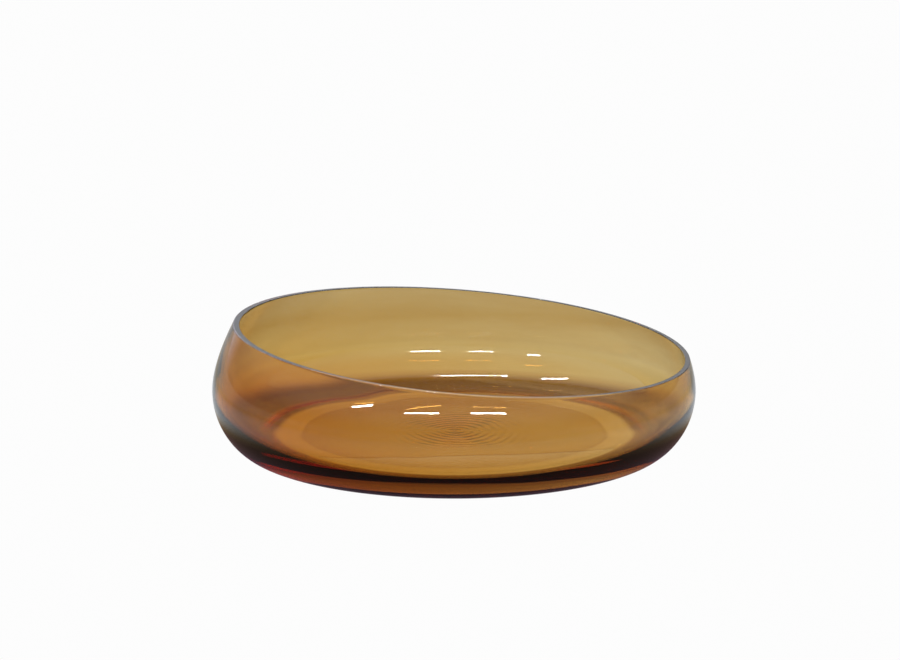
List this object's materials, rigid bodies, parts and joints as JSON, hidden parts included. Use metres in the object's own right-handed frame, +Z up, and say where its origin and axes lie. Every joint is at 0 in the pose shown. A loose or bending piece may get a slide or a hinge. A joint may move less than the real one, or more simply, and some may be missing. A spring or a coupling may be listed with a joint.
{
  "type": "slanted rim glass bowl",
  "caption": "Shallow round blown-glass bowl with a slanted, rolled-in rim: thin amber lining inside a clear casing, on a flat ground foot.",
  "frame": {"origin": "centre of the ground foot, on the surface that the bowl stands on", "axes": "+Z up along the bowl's axis; the rim is highest towards -X and lowest towards +X, and XZ is the mirror plane"},
  "size_m": [0.31, 0.3099, 0.0845],
  "materials": {
    "clear_glass": "polished",
    "amber_glass": "polished"
  },
  "bodies": {
    "root": {"clear_outer_casing": "clear_glass", "amber_inner_layer": "amber_glass"}
  },
  "joints": []
}
